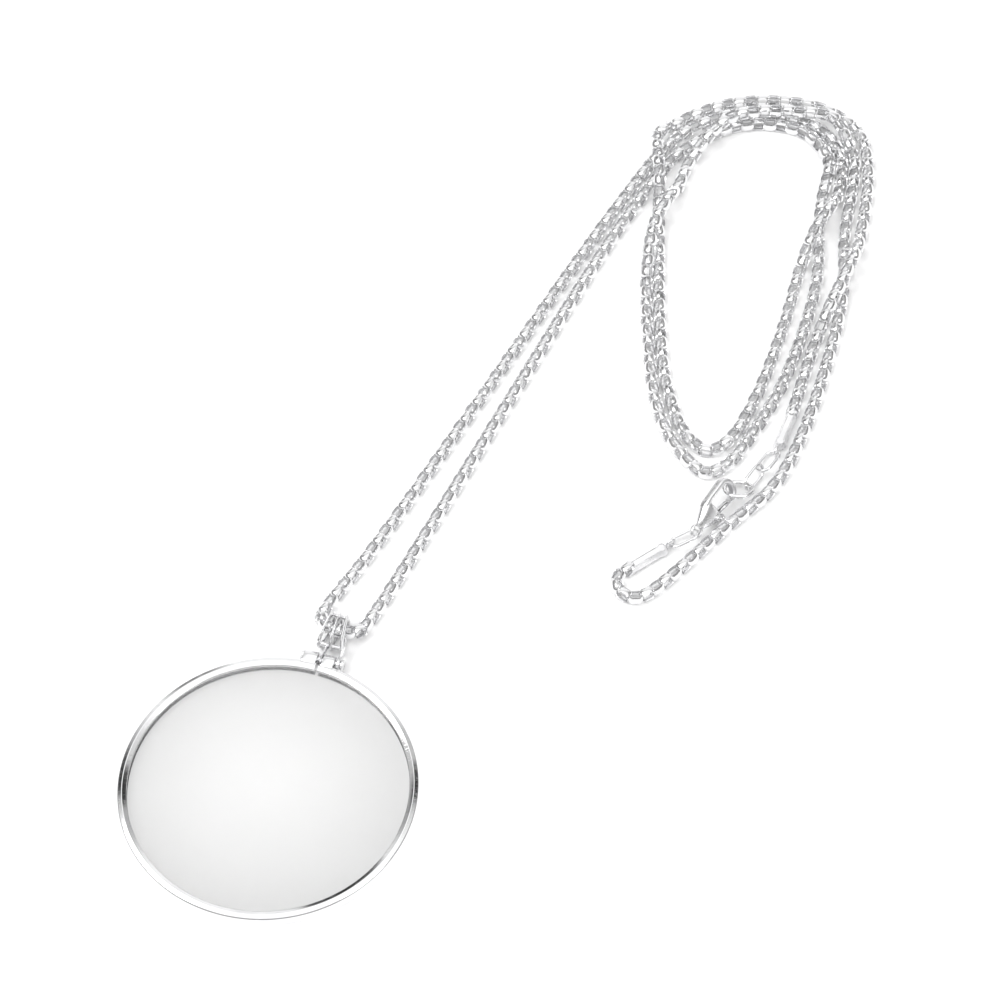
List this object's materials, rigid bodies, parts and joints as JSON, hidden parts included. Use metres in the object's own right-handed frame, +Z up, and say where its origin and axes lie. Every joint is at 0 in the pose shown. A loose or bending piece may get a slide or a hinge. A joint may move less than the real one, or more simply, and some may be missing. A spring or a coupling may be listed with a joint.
{
  "type": "magnifier pendant necklace",
  "caption": "Long necklace with a round magnifying lens in a clamped rim, hung by a ribbed bail on a fine box chain with end caps and a lobster clasp, lying flat.",
  "frame": {"origin": "middle of the lens on the resting plane, which is the underside of the rim", "axes": "+Z up from the surface that the necklace lies on, +Y away from the viewer towards the chain, +X to the viewer's right"},
  "size_m": [0.1357, 0.1686, 0.0055],
  "materials": {
    "lens_glass": "clear polished glass",
    "silver_plate": "bright polished silver-coloured plating",
    "silver_chain": "bright silver-coloured plating on fine links"
  },
  "bodies": {
    "necklace": {"lens": "lens_glass", "rim": "silver_plate", "clamp_screw": "silver_plate", "bail": "silver_plate", "chain": "silver_chain", "end_cap_1": "silver_plate", "end_cap_2": "silver_plate", "oval_ring_1": "silver_plate", "oval_ring_2": "silver_plate", "oval_ring_3": "silver_plate", "clasp_ring": "silver_plate", "clasp_body": "silver_plate", "clasp_pin": "silver_plate"},
    "lever": {"clasp_lever": "silver_plate"}
  },
  "joints": [
    {"name": "lever_hinge", "type": "hinge", "parent": "necklace", "child": "lever", "pos_m": [0.07655, 0.05063, 0.00182], "axis": [0.6284, -0.5362, 0.5635], "range_deg": [0, 24], "stiffness_Nm_per_rad": 0.002}
  ]
}
